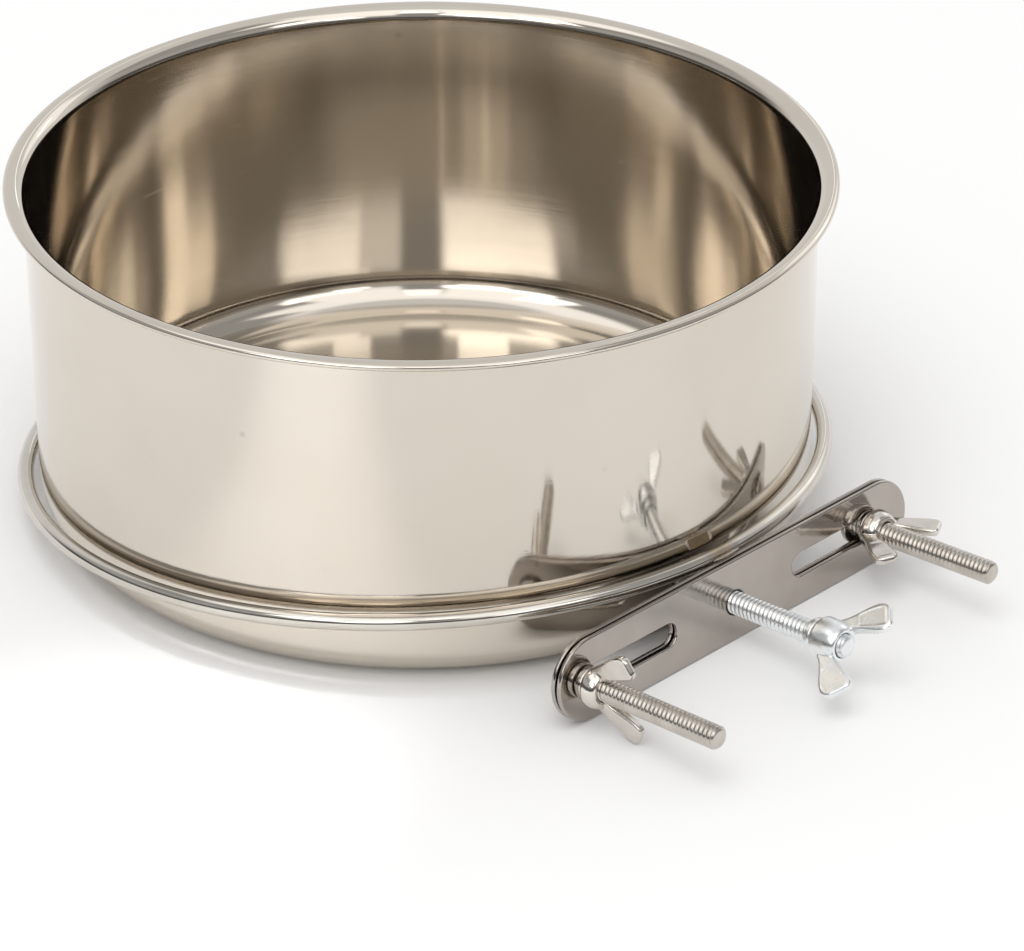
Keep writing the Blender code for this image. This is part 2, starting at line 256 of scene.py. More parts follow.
def buildHandling():  # smudges, hairline scratches and small dark specks
    group, into, out = newGroup(
        "handlingMarks",
        [("Vector", "Vector", None), ("Size", "Float", 28.0)],
        [("Smudge", "Float"), ("Scratch", "Float"), ("Speck", "Float")],
    )
    vector = into.outputs["Vector"]
    soft = noiseNode(group, vector, into.outputs["Size"], 3.0, 0.55)
    group.links.new(rangeNode(group, soft, 0.35, 0.7), out.inputs["Smudge"])
    turned = group.nodes.new("ShaderNodeMapping")
    turned.inputs["Rotation"].default_value = (0.4, 0.9, 0.6)
    turned.inputs["Scale"].default_value = (30.0, 900.0, 900.0)
    group.links.new(vector, turned.inputs["Vector"])
    hair = noiseNode(group, turned.outputs[0], 1.0, 1.0, 0.4)
    group.links.new(rangeNode(group, hair, 0.74, 0.8), out.inputs["Scratch"])
    cells = group.nodes.new("ShaderNodeTexVoronoi")
    cells.inputs["Scale"].default_value = 120.0
    group.links.new(vector, cells.inputs["Vector"])
    chosen = rangeNode(group, noiseNode(group, vector, 60.0, 1.0), 0.62, 0.68)
    spot = rangeNode(group, cells.outputs["Distance"], 0.05, 0.12, 1.0, 0.0)
    group.links.new(mathNode(group, "MULTIPLY", spot, chosen), out.inputs["Speck"])
    return group


def buildHeatTint():  # straw, brown and blue rings round a weld
    group, into, out = newGroup(
        "heatTint",
        [("Vector", "Vector", None), ("Centre", "Vector", (0, 0, 0)), ("Reach", "Float", 0.006)],
        [("Tint", "Color"), ("Mask", "Float")],
    )
    away = group.nodes.new("ShaderNodeVectorMath")
    away.operation = "DISTANCE"
    group.links.new(into.outputs["Vector"], away.inputs[0])
    group.links.new(into.outputs["Centre"], away.inputs[1])
    uneven = noiseNode(group, into.outputs["Vector"], 420.0, 3.0)
    ragged = mathNode(group, "MULTIPLY_ADD", uneven, 0.7, 0.65)  # the rings are not quite round
    distance = mathNode(group, "MULTIPLY", away.outputs["Value"], ragged)
    share = mathNode(group, "DIVIDE", distance, into.outputs["Reach"])
    ramp = group.nodes.new("ShaderNodeValToRGB")
    stops = (
        (0.0, (0.42, 0.36, 0.30)), (0.3, (0.55, 0.46, 0.34)), (0.6, (0.52, 0.49, 0.46)),
        (0.85, (0.68, 0.60, 0.46)), (1.0, (0.72, 0.67, 0.6)),
    )
    while len(ramp.color_ramp.elements) < len(stops):
        ramp.color_ramp.elements.new(0.5)
    for element, (place, colour) in zip(ramp.color_ramp.elements, stops):
        element.position = place
        element.color = (*colour, 1.0)
    group.links.new(share, ramp.inputs["Fac"])
    group.links.new(ramp.outputs["Color"], out.inputs["Tint"])
    group.links.new(rangeNode(group, share, 0.5, 1.0, 1.0, 0.0), out.inputs["Mask"])
    return group


def buildPits():  # fine pits of cast, plated and burnt metal
    group, into, out = newGroup(
        "finePits",
        [("Vector", "Vector", None), ("Size", "Float", 1400.0), ("Grain", "Float", 0.6)],
        [("Pits", "Float")],
    )
    pits = noiseNode(group, into.outputs["Vector"], into.outputs["Size"], 3.0, into.outputs["Grain"])
    group.links.new(pits, out.inputs["Pits"])
    return group


spunPolish = buildSpunPolish()
drawnGrain = buildDrawnGrain()
handlingMarks = buildHandling()
heatTint = buildHeatTint()
finePits = buildPits()
print("shader groups built")


class Finish:  # a metal under construction
    def __init__(self, name):
        self.material = bpy.data.materials.new(name)
        self.material.use_nodes = True
        self.tree = self.material.node_tree
        self.shader = self.tree.nodes["Principled BSDF"]
        self.shader.inputs["Metallic"].default_value = 1.0
        self.coords = self.tree.nodes.new("ShaderNodeTexCoord").outputs["Object"]

    def place(self, group, **values):
        node = self.tree.nodes.new("ShaderNodeGroup")
        node.node_tree = group
        self.tree.links.new(self.coords, node.inputs["Vector"])
        for label, value in values.items():
            node.inputs[label].default_value = value
        return node.outputs

    def set(self, label, value):
        self.tree.links.new(value, self.shader.inputs[label])

    def toned(self, mask, share, one, two):  # colour one, part of the way to two under the mask
        return mixColour(self.tree, mathNode(self.tree, "MULTIPLY", mask, share), one, two)

    def added(self, mask, share, base):  # base and a share of the mask
        return mathNode(self.tree, "MULTIPLY_ADD", mask, share, base)

    def bump(self, height, strength, distance=0.1 * mm, before=None):
        node = self.tree.nodes.new("ShaderNodeBump")
        node.inputs["Strength"].default_value = strength
        node.inputs["Distance"].default_value = distance
        self.tree.links.new(height, node.inputs["Height"])
        if before:
            self.tree.links.new(before, node.inputs["Normal"])
        return node.outputs["Normal"]


def cupFinish():
    values = {
        "steel": (0.685, 0.632, 0.56), "dull": (0.656, 0.598, 0.521), "smudge": 0.8,
        "speckTone": (0.30, 0.28, 0.26), "speck": 0.35, "markSize": 24.0,
        "insideTone": (0.95, 0.945, 0.935),  # the inside's colour is a little darker than the outside's
        "skin": 80.7 * mm,  # radius halfway through the wall
        "outside": 0.06, "inside": 0.095,  # roughness
        "lineRough": 0.05, "smudgeRough": 0.02, "scratchRough": 0.08,  # what the marks add to it
        "lineBump": 0.04, "anisotropy": 0.75, "anisotropyTurn": 0.25,
    }
    made = Finish("mirrorPolishedSteel")
    tangent = made.tree.nodes.new("ShaderNodeTangent")
    tangent.axis = "Z"
    made.set("Tangent", tangent.outputs[0])
    made.shader.inputs["Anisotropic"].default_value = values["anisotropy"]
    made.shader.inputs["Anisotropic Rotation"].default_value = values["anisotropyTurn"]
    lines = made.place(spunPolish)
    marks = made.place(handlingMarks, Size=values["markSize"])
    tone = made.toned(marks["Smudge"], values["smudge"], values["steel"], values["dull"])
    tone = made.toned(marks["Speck"], values["speck"], tone, values["speckTone"])
    parts = made.tree.nodes.new("ShaderNodeSeparateXYZ")
    made.tree.links.new(made.coords, parts.inputs[0])
    x, y = parts.outputs[0], parts.outputs[1]
    square = mathNode(made.tree, "MULTIPLY_ADD", x, x, mathNode(made.tree, "MULTIPLY", y, y))
    inside = mathNode(made.tree, "LESS_THAN", square, values["skin"] ** 2)
    made.set("Base Color", mixColour(made.tree, inside, tone, values["insideTone"], "MULTIPLY"))
    smoothest = values["outside"] - values["lineRough"] / 2
    rough = made.added(inside, values["inside"] - values["outside"], smoothest)
    rough = made.added(lines["Streak"], values["lineRough"], rough)
    rough = made.added(marks["Smudge"], values["smudgeRough"], rough)
    made.set("Roughness", made.added(marks["Scratch"], values["scratchRough"], rough))
    made.set("Normal", made.bump(lines["Fine"], values["lineBump"]))
    return made.material


def wireFinish():
    values = {
        "steel": (0.66, 0.62, 0.565), "dull": (0.57, 0.53, 0.475), "smudge": 0.7,
        "speckTone": (0.25, 0.22, 0.2), "speck": 0.6, "markSize": 70.0, "lines": 1500.0, "run": 60.0,
        "weldAt": (0.0, -84.4 * mm, 0.6 * mm), "weldReach": 7.0 * mm,  # where welding has tinted the wire
        "rough": 0.06, "lineRough": 0.08, "weldRough": 0.15, "scratchRough": 0.1, "lineBump": 0.05,
    }
    made = Finish("drawnWireSteel")
    lines = made.place(spunPolish, Lines=values["lines"], Run=values["run"])
    marks = made.place(handlingMarks, Size=values["markSize"])
    heat = made.place(heatTint, Centre=values["weldAt"], Reach=values["weldReach"])
    tone = made.toned(marks["Smudge"], values["smudge"], values["steel"], values["dull"])
    tone = made.toned(marks["Speck"], values["speck"], tone, values["speckTone"])
    made.set("Base Color", mixColour(made.tree, heat["Mask"], tone, heat["Tint"]))
    rough = made.added(lines["Streak"], values["lineRough"], values["rough"])
    rough = made.added(heat["Mask"], values["weldRough"], rough)
    made.set("Roughness", made.added(marks["Scratch"], values["scratchRough"], rough))
    made.set("Normal", made.bump(lines["Fine"], values["lineBump"]))
    return made.material


def plateFinish(name):
    values = {
        "steel": (0.47, 0.43, 0.395), "dull": (0.41, 0.37, 0.335), "smudge": 0.8,
        "speckTone": (0.2, 0.18, 0.17), "speck": 0.5, "markSize": 60.0, "grain": (60.0, 1600.0, 1600.0),
        "rough": 0.06, "lineRough": 0.08, "scratchRough": 0.12, "lineBump": 0.05,
        "waveSize": 90.0, "waveBump": 0.25, "waveDeep": 0.2 * mm,  # the sheet is not quite flat
    }
    made = Finish(name)
    lines = made.place(drawnGrain, Stretch=values["grain"])
    marks = made.place(handlingMarks, Size=values["markSize"])
    tone = made.toned(marks["Smudge"], values["smudge"], values["steel"], values["dull"])
    made.set("Base Color", made.toned(marks["Speck"], values["speck"], tone, values["speckTone"]))
    rough = made.added(lines["Streak"], values["lineRough"], values["rough"])
    made.set("Roughness", made.added(marks["Scratch"], values["scratchRough"], rough))
    waves = noiseNode(made.tree, made.coords, values["waveSize"], 1.0)
    waves = made.bump(waves, values["waveBump"], values["waveDeep"])
    made.set("Normal", made.bump(lines["Fine"], values["lineBump"], before=waves))
    return made.material


def screwFinish():
    values = {
        "steel": (0.61, 0.57, 0.52), "dull": (0.50, 0.465, 0.42), "markSize": 160.0,
        "lines": 5200.0, "run": 260.0, "rough": 0.13, "lineRough": 0.16, "lineBump": 0.1,
    }
    made = Finish("rolledThreadSteel")
    lines = made.place(spunPolish, Lines=values["lines"], Run=values["run"])
    marks = made.place(handlingMarks, Size=values["markSize"])
    made.set("Base Color", mixColour(made.tree, marks["Smudge"], values["steel"], values["dull"]))
    made.set("Roughness", made.added(lines["Streak"], values["lineRough"], values["rough"]))
    made.set("Normal", made.bump(lines["Fine"], values["lineBump"]))
    return made.material


def castFinish():
    values = {
        "steel": (0.74, 0.70, 0.65), "dull": (0.64, 0.60, 0.55), "markSize": 130.0,
        "rough": 0.1, "smudgeRough": 0.1, "pitSize": 1400.0, "pitBump": 0.12,
    }
    made = Finish("castNutSteel")
    marks = made.place(handlingMarks, Size=values["markSize"])
    pits = made.place(finePits, Size=values["pitSize"])
    made.set("Base Color", mixColour(made.tree, marks["Smudge"], values["steel"], values["dull"]))
    made.set("Roughness", made.added(marks["Smudge"], values["smudgeRough"], values["rough"]))
    made.set("Normal", made.bump(pits["Pits"], values["pitBump"]))
    return made.material


def zincFinish(name, rough):
    values = {
        "zinc": (0.90, 0.915, 0.915), "blue": (0.78, 0.81, 0.83), "smudge": 0.8, "markSize": 180.0,
        "crystalSize": 900.0, "crystal": 0.35, "smudgeRough": 0.14, "pitSize": 1500.0, "pitBump": 0.15,
    }
    made = Finish(name)
    marks = made.place(handlingMarks, Size=values["markSize"])
    pits = made.place(finePits, Size=values["pitSize"])
    crystals = made.tree.nodes.new("ShaderNodeTexVoronoi")
    crystals.inputs["Scale"].default_value = values["crystalSize"]
    made.tree.links.new(made.coords, crystals.inputs["Vector"])
    tone = made.toned(marks["Smudge"], values["smudge"], values["zinc"], values["blue"])
    made.set("Base Color", made.toned(crystals.outputs["Distance"], values["crystal"], tone, values["blue"]))
    made.set("Roughness", made.added(marks["Smudge"], values["smudgeRough"], rough))
    made.set("Normal", made.bump(pits["Pits"], values["pitBump"]))
    return made.material


def weldFinish():
    values = {
        "grey": (0.5, 0.47, 0.43), "heatReach": 4.5 * mm, "markSize": 400.0,
        "rough": 0.2, "smudgeRough": 0.25, "pitSize": 1800.0, "pitGrain": 0.5, "pitBump": 0.3,
    }
    made = Finish("burntWeldSteel")
    heat = made.place(heatTint, Reach=values["heatReach"])
    marks = made.place(handlingMarks, Size=values["markSize"])
    pits = made.place(finePits, Size=values["pitSize"], Grain=values["pitGrain"])
    made.set("Base Color", mixColour(made.tree, marks["Smudge"], heat["Tint"], values["grey"]))
    made.set("Roughness", made.added(marks["Smudge"], values["smudgeRough"], values["rough"]))
    made.set("Normal", made.bump(pits["Pits"], values["pitBump"]))
    return made.material


cupSteel = cupFinish()
wireSteel = wireFinish()
backPlateSteel = plateFinish("backPlateSteel")
clampPlateSteel = plateFinish("clampPlateSteel")
screwSteel = screwFinish()
nutSteel = castFinish()
zincScrew = zincFinish("zincScrewPlating", 0.24)
zincNut = zincFinish("zincNutPlating", 0.21)
weldSteel = weldFinish()
print("finishes built")


# cup, all in mm and degrees
cup = {
    "rim": 85.0, "height": 73.1, "wall": 81.063, "sheet": 0.7, "corner": 8.5,
    "curlWide": 2.85, "curlTall": 1.8, "lip": 3.1,  # the lip rolls outward, then curls under
    "curlFrom": 84, "curlTo": -150, "underLip": 125,  # where the curl and the lip's underside begin and end
    "crown": 2.2, "crownEdge": (0.25, 0.95),  # the inside floor rises to its middle
    "dent": 0.035, "dentFrom": 70.0, "dentFoot": (6, 20), "dentTop": (56, 68),  # left by deep drawing
    "dentSize": 2.4, "dentRise": 0.03, "dentSeed": 5.0,
    "steps": 288, "floorRows": 60, "cornerRows": 20, "wallRows": 26,
    "lipRows": 24, "curlRows": 40, "underRows": 14, "baseRows": 8,
}


def cupProfile(c):
    flat = c["wall"] - c["corner"]
    inner, outer = c["wall"] - c["sheet"], c["wall"]
    turn = (inner + c["lip"], c["height"] - c["lip"])  # centre of the lip's roll
    half, low = c["curlWide"] / 2, c["curlTall"] / 2
    points = []
    for i in range(c["floorRows"]):
        share = i / c["floorRows"]
        points.append((flat * share, c["sheet"] + c["crown"] * (1 - smooth(*c["crownEdge"], share))))
    points += arcPoints(flat, c["corner"], c["corner"] - c["sheet"], -90, 0, c["cornerRows"])
    points += linePoints((inner, c["corner"]), (inner, turn[1]), c["wallRows"])
    points += arcPoints(*turn, c["lip"], 180, 90, c["lipRows"])
    curl = (c["rim"] - half, c["height"] - low)
    points += arcPoints(*curl, half, c["curlFrom"], c["curlTo"], c["curlRows"], low)
    points += arcPoints(*turn, c["lip"] - c["sheet"], c["underLip"], 180, c["underRows"])
    points += linePoints((outer, turn[1]), (outer, c["corner"]), c["wallRows"])
    points += arcPoints(flat, c["corner"], c["corner"], 0, -90, c["cornerRows"])
    return points + linePoints((flat, 0), (0, 0), c["baseRows"]) + [(0, 0)]


def buildCup(c):
    bm = spinProfile(cupProfile(c), c["steps"])
    for vert in bm.verts:  # shallow waves, none at the base or the rim
        r = math.hypot(vert.co.x, vert.co.y)
        if r < c["dentFrom"] * mm:
            continue
        level = vert.co.z / mm
        amount = smooth(*c["dentFoot"], level) * (1 - smooth(*c["dentTop"], level)) * c["dent"] * mm
        unit = vert.co.xy / r
        spot = (unit.x * c["dentSize"], unit.y * c["dentSize"], level * c["dentRise"] + c["dentSeed"])
        push = noise.noise(Vector(spot))
        vert.co.x += unit.x * push * amount
        vert.co.y += unit.y * push * amount
    addPiece("polishedCup", meshFrom("polishedCup", bm), Matrix.Identity(4), "cup", "cup", cupSteel)


buildCup(cup)
print("cup built")


# wire ring
wire = {
    "ring": 84.013, "thick": 1.7, "coarse": 240, "around": 36,
    "weldTurn": 270, "fineStep": 0.1, "fineSteps": 60, "perCoarse": 15,  # finer rows near the weld
    "flatHalf": 3.5, "flatLeft": 1.25,  # mm, the electrode's flat at the weld
    "flatFade": 0.6, "flatRise": 0.5, "flatRough": 0.06, "flatGrain": 1.7, "flatMargin": 1.5,
    "nicks": ((-143.0, 50.0, 0.7, 0.10), (-128.0, 65.0, 0.5, 0.08)),  # ring angle, wire angle, size, depth
}
pressWay = Vector((0, 1, 1)).normalized()  # the electrode pressed from above and inside


def aroundFrom(degrees, start):  # the short way round, in radians
    return math.radians((degrees - start + 180) % 360 - 180)


def buildWire(w):
    bm = bmesh.new()
    twist = Matrix.Rotation(math.radians(holder["wireTwist"]), 4, "Y")
    angles = [360 * i / w["coarse"] for i in range(w["coarse"])]
    for i in range(-w["fineSteps"], w["fineSteps"] + 1):
        if i % w["perCoarse"]:  # the others are there already
            angles.append(w["weldTurn"] + w["fineStep"] * i)
    rings = []
    for degrees in sorted(angles):
        a = math.radians(degrees)
        outward = Vector((math.cos(a), math.sin(a), 0))
        middle = twist @ (outward * w["ring"])
        ring = []
        for k in range(w["around"]):
            b = 2 * math.pi * k / w["around"]
            offset = outward * math.cos(b) + Vector((0, 0, math.sin(b)))
            reach = w["thick"]
            for turn, side, size, depth in w["nicks"]:
                along = aroundFrom(degrees, turn) * w["ring"]
                across = aroundFrom(math.degrees(b), side) * w["thick"]
                reach -= depth * math.exp(-(along ** 2 + across ** 2) / size ** 2)
            point = middle + (twist @ offset) * reach
            if middle.y < 0 and abs(middle.x) < w["flatHalf"] + w["flatMargin"]:
                over = (point - middle).dot(pressWay)
                rough = w["flatRough"] * noise.noise(point * w["flatGrain"])
                fade = smooth(w["flatHalf"] - w["flatFade"], w["flatHalf"] + w["flatFade"], abs(middle.x))
                limit = w["flatLeft"] + rough + w["flatRise"] * fade
                if over > limit:
                    point -= pressWay * (over - limit)
            ring.append(bm.verts.new(point * mm))
        rings.append(ring)
    for one, two in zip(rings, rings[1:] + rings[:1]):
        joinRings(bm, one, two)
    addPiece("wireRing", meshFrom("wireRing", bm), holderSpace, "holder", "holder_ring", wireSteel)


buildWire(wire)
print("wire ring built")


# weld bead between the wire and the back plate
weld = {
    "place": (0.0, -86.563, 0.7), "length": 7.4, "wide": 1.1, "tall": 0.8, "ripples": 9,
    "taper": 0.94, "blunt": 0.12, "lap": 0.95,  # how the pools shrink to the ends and overlap
    # small drops: x, y, z, radius
    "spatter": ((-2.9, -0.15, 0.42, 0.16), (3.1, 0.1, 0.4, 0.13), (1.4, -0.3, 0.36, 0.12)),
    "spatterSink": 0.3, "voxel": 0.07, "soften": 3,
}


def buildWeld(w):
    bm = bmesh.new()
    for i in range(w["ripples"]):  # overlapping pools, then one skin over them
        t = i / (w["ripples"] - 1) * 2 - 1
        swell = math.sqrt(max(w["blunt"], 1 - (t * w["taper"]) ** 2))
        uneven = 0.9 + 0.1 * math.sin(i * 2.3)
        long = w["length"] / w["ripples"] * w["lap"]
        wide = w["wide"] * 0.5 * swell
        tall = w["tall"] * 0.5 * swell * uneven
        ball = bmesh.ops.create_icosphere(bm, subdivisions=3, radius=1.0)["verts"]
        x = t * (w["length"] / 2 - long)
        for vert in ball:
            vert.co = Vector((x + vert.co.x * long, vert.co.y * wide, vert.co.z * tall)) * mm
    for x, y, z, radius in w["spatter"]:
        ball = bmesh.ops.create_icosphere(bm, subdivisions=2, radius=radius * mm)["verts"]
        bmesh.ops.translate(bm, vec=Vector((x, y, z - w["spatterSink"])) * mm, verts=ball)
    mesh = modified("weldBead", meshFrom("weldBead", bm), oneSkin(w["voxel"], w["soften"]))
    space = holderSpace @ Matrix.Translation(Vector(w["place"]) * mm)
    addPiece("weldBead", mesh, space, "holder", "plate_weld", weldSteel)


buildWeld(weld)
print("weld built")


# slotted plates
plates = {
    "length": 101.2, "shift": 1.0, "height": 17.5, "slotStart": 16.8, "slotEnd": 45.4, "slotRadius": 2.58,
    "holeDrop": 0.6, "level": -8.75, "edge": 0.4,
    "endSteps": 40, "slotSteps": 20, "holeSteps": 48, "edgeRows": 6,
    "back": (86.013, 87.013), "clamp": (87.513, 88.513),  # inner and outer face
}


def roundEnded(start, end, radius, level, steps):  # anticlockwise
    right = arcPoints(end - radius, level, radius, -90, 90, steps)
    return right + arcPoints(start + radius, level, radius, 90, 270, steps)


def insetLoop(points, amount):  # to the left of the way round, which is into the sheet
    moved = []
    for i, here in enumerate(points):
        before, after = Vector(points[i - 1]), Vector(points[(i + 1) % len(points)])
        along = (after - before).normalized()
        moved.append(Vector(here) + Vector((-along.y, along.x)) * amount)
    return moved


def buildPlate(p, name, inner, outer, body, node, material):
    half = p["length"] / 2
    outline = roundEnded(p["shift"] - half, p["shift"] + half, p["height"] / 2, 0, p["endSteps"])
    slots = []
    for start, end in ((p["slotStart"], p["slotEnd"]), (-p["slotEnd"], -p["slotStart"])):
        slots.append(roundEnded(start, end, p["slotRadius"], 0, p["slotSteps"])[::-1])
    hole = arcPoints(0, -p["holeDrop"], p["slotRadius"], 0, -360, p["holeSteps"])[:-1]
    sheet = outer - inner
    rows = []
    for k in range(p["edgeRows"]):  # rolled edge on both faces
        a = math.radians(90 / (p["edgeRows"] - 1) * k)
        rows.append((p["edge"] * (1 - math.sin(a)), p["edge"] * (1 - math.cos(a))))
    rows += [(inset, sheet - depth) for inset, depth in rows[::-1]]
    bm = bmesh.new()
    caps = [[], []]
    for loop in [outline, *slots, hole]:
        rings = []
        for inset, depth in rows:
            line = [Vector((q.x, -sheet + depth, q.y)) * mm for q in insetLoop(loop, inset)]
            rings.append([bm.verts.new(point) for point in line])
        for one, two in zip(rings, rings[1:]):
            joinRings(bm, one, two)
        for cap, ring in zip(caps, (rings[0], rings[-1])):
            cap += [bm.edges.get((ring[i - 1], ring[i])) for i in range(len(ring))]
    for cap in caps:
        bmesh.ops.triangle_fill(bm, use_beauty=True, use_dissolve=False, edges=cap)
    mesh = meshFrom(name, bm)
    for face in mesh.polygons:
        face.use_smooth = abs(face.normal.y) < 0.995  # the two faces stay flat
    space = holderSpace @ Matrix.Translation(Vector((0, -inner, p["level"])) * mm)
    addPiece(name, mesh, space, body, node, material)


buildPlate(plates, "backPlate", *plates["back"], "holder", "back_plate", backPlateSteel)
buildPlate(plates, "clampPlate", *plates["clamp"], "clamp", "clamp_plate", clampPlateSteel)
print("plates built")


# screws
screws = {
    "seat": 85.713, "face": 88.513,  # the head's seat and the clamp plate's face, mm from the ring's axis
    "reach": {"left": 35.0, "right": 32.6, "centre": 29.6},  # mm out of the clamp plate
    "radius": 2.38, "pitch": 25.4 / 24, "threadDeep": 0.3, "runOut": (0.2, 1.2), "runIn": (1.7, 2.3),
    "end": ((0.0, 0.0), (0.6, 0.0), (1.2, 0.01), (1.62, 0.05)),  # radius and drop of the end's face
    "tip": 0.6, "tipEdge": 1.72, "tipDrop": 0.15, "tipFlare": 0.26, "shankRest": 0.4,
    "head": 4.2, "headTall": 2.4, "headEdge": 0.7, "headCorner": 0.15, "neck": 0.12,
    "driveWide": 1.1, "driveDeep": 1.1, "steps": 48, "headSteps": 16, "perTurn": 12, "sharp": 40,
}


def threadDepth(turns):  # 0 on the crest, 1 in the root
    away = abs((turns + 0.5) % 1 - 0.5) * 2
    return smooth(0.3, 0.92, away)


def screwProfile(s, length):
    rows = [(r, length - drop) for r, drop in s["end"]]
    threaded = length - s["shankRest"]
    count = int(threaded / s["pitch"] * s["perTurn"])
    for i in range(count + 1):
        z = length - s["tipDrop"] - threaded * i / count
        flared = s["tipEdge"] + (length - z) * s["radius"] / s["tip"] * s["tipFlare"]
        rows.append((min(s["radius"], flared), z))
    rows += [(s["radius"], s["neck"]), (s["radius"] + s["neck"], 0.0)]
    rows += [(s["head"] - s["headCorner"], 0.0), (s["head"], -s["headCorner"])]
    dome = s["headTall"] - s["headEdge"]
    rows += arcPoints(0, -s["headEdge"], s["head"], 0, -90, s["headSteps"], dome)[:-1]
    return rows + [(0.0, -s["headTall"])]


def buildScrew(s, side, name, body, node, material):
    bm = spinProfile(screwProfile(s, s["face"] - s["seat"] + s["reach"][side]), s["steps"])
    for vert in bm.verts:
        r = math.hypot(vert.co.x, vert.co.y) / mm
        z = vert.co.z / mm
        if r < s["runIn"][0] or z < s["runOut"][0] or r > s["radius"] + 0.01:
            continue
        turns = z / s["pitch"] - math.atan2(vert.co.y, vert.co.x) / (2 * math.pi)
        cut = s["threadDeep"] * threadDepth(turns) * smooth(*s["runOut"], z) * smooth(*s["runIn"], r)
        vert.co.xy *= (r - cut) / r

    def slotted(work):
        box = bmesh.new()
        bmesh.ops.create_cube(box, size=1.0)
        size = Vector((s["head"] * 2 + 2, s["driveWide"], s["driveDeep"] * 2))
        bmesh.ops.scale(box, vec=size * mm, verts=box.verts)
        bmesh.ops.translate(box, vec=(0, 0, -s["headTall"] * mm), verts=box.verts)
        blade = bpy.data.objects.new("blade", meshFrom("blade", box))
        scene.collection.objects.link(blade)
        blade.hide_render = True
        cut = work.modifiers.new("drive", "BOOLEAN")
        cut.operation = "DIFFERENCE"
        cut.solver = "EXACT"
        cut.object = blade
        return [blade]

    mesh = modified(name, meshFrom(name, bm), slotted)
    sharpen(mesh, s["sharp"])
    addPiece(name, mesh, fastenerSpace(side, s["seat"]), body, node, material)


def sharpen(mesh, degrees):  # hard edges where faces meet steeply
    bm = bmesh.new()
    bm.from_mesh(mesh)
    for edge in bm.edges:
        steep = edge.calc_face_angle(0.0) > math.radians(degrees)
        edge.smooth = not (len(edge.link_faces) == 2 and steep)
    bm.to_mesh(mesh)
    bm.free()


buildScrew(screws, "left", "leftScrew", "left_screw", "left_bolt", screwSteel)
buildScrew(screws, "right", "rightScrew", "right_screw", "right_bolt", screwSteel)
buildScrew(screws, "centre", "centreScrew", "holder", "centre_bolt", zincScrew)
print("screws built")


# washers
washers = {
    "outer": 3.5, "bore": 2.6, "warp": 0.02, "steps": 96, "cornerSteps": 5,
    "left": {"out": 88.813, "tall": 1.4, "edge": 0.3},
    "right": {"out": 88.813, "tall": 0.4, "edge": 0.12},
    "centre": {"out": 109.213, "tall": 1.5, "edge": 0.42},
}


def buildWasher(w, side, name, body, node, material):
    out, tall, edge = w[side]["out"], w[side]["tall"], w[side]["edge"]
    outer, bore = w["outer"] - edge, w["bore"] + edge
    corners = ((outer, tall - edge, 90), (outer, edge, 0), (bore, edge, -90), (bore, tall - edge, -180))
    points = []
    for r, z, start in corners:
        points += arcPoints(r, z, edge, start, start - 90, w["cornerSteps"])
    bm = spinProfile(points, w["steps"], closed=True)
    across = holder["screwAt"][side][0]  # turns each washer's warp another way
    for vert in bm.verts:  # pressed a little out of flat
        vert.co.z += w["warp"] * mm * math.sin(2 * math.atan2(vert.co.y, vert.co.x) + across)
    addPiece(name, meshFrom(name, bm), fastenerSpace(side, out), body, node, material)


buildWasher(washers, "left", "leftWasher", "left_spacer", "left_washer", nutSteel)
buildWasher(washers, "right", "rightWasher", "right_spacer", "right_washer", nutSteel)
buildWasher(washers, "centre", "centreWasher", "centre_spacer", "centre_washer", zincNut)
print("washers built")


# wing nuts: hub and ears under one cast skin
nuts = {
    "bore": 2.5, "boreEdge": 0.15, "base": 4.4, "top": 3.0, "foot": 0.95, "voxel": 0.11, "soften": 4,
    "rootOut": 3.2, "neckWide": 3.6, "corner": 1.6, "rootThick": 2.9, "tipThick": 1.7, "bow": 0.25,
    "sink": 0.5, "roundness": 7, "hubSteps": 72, "footRows": 8, "domeRows": 16, "earRows": 44, "earCols": 20,
    "turn": {"left": 97, "right": 3, "centre": 32},  # degrees that the ears stand round the screw
}
sideNut = dict(nuts, tall=3.6, rootUp=2.0, tip=(8.1, 11.4), earWide=5.2, panel=0.06)
centreNut = dict(
    nuts, tall=6.0, rootUp=3.4, tip=(9.6, 11.7), earWide=6.9, neckWide=3.3, corner=2.2, panel=0.1,
)


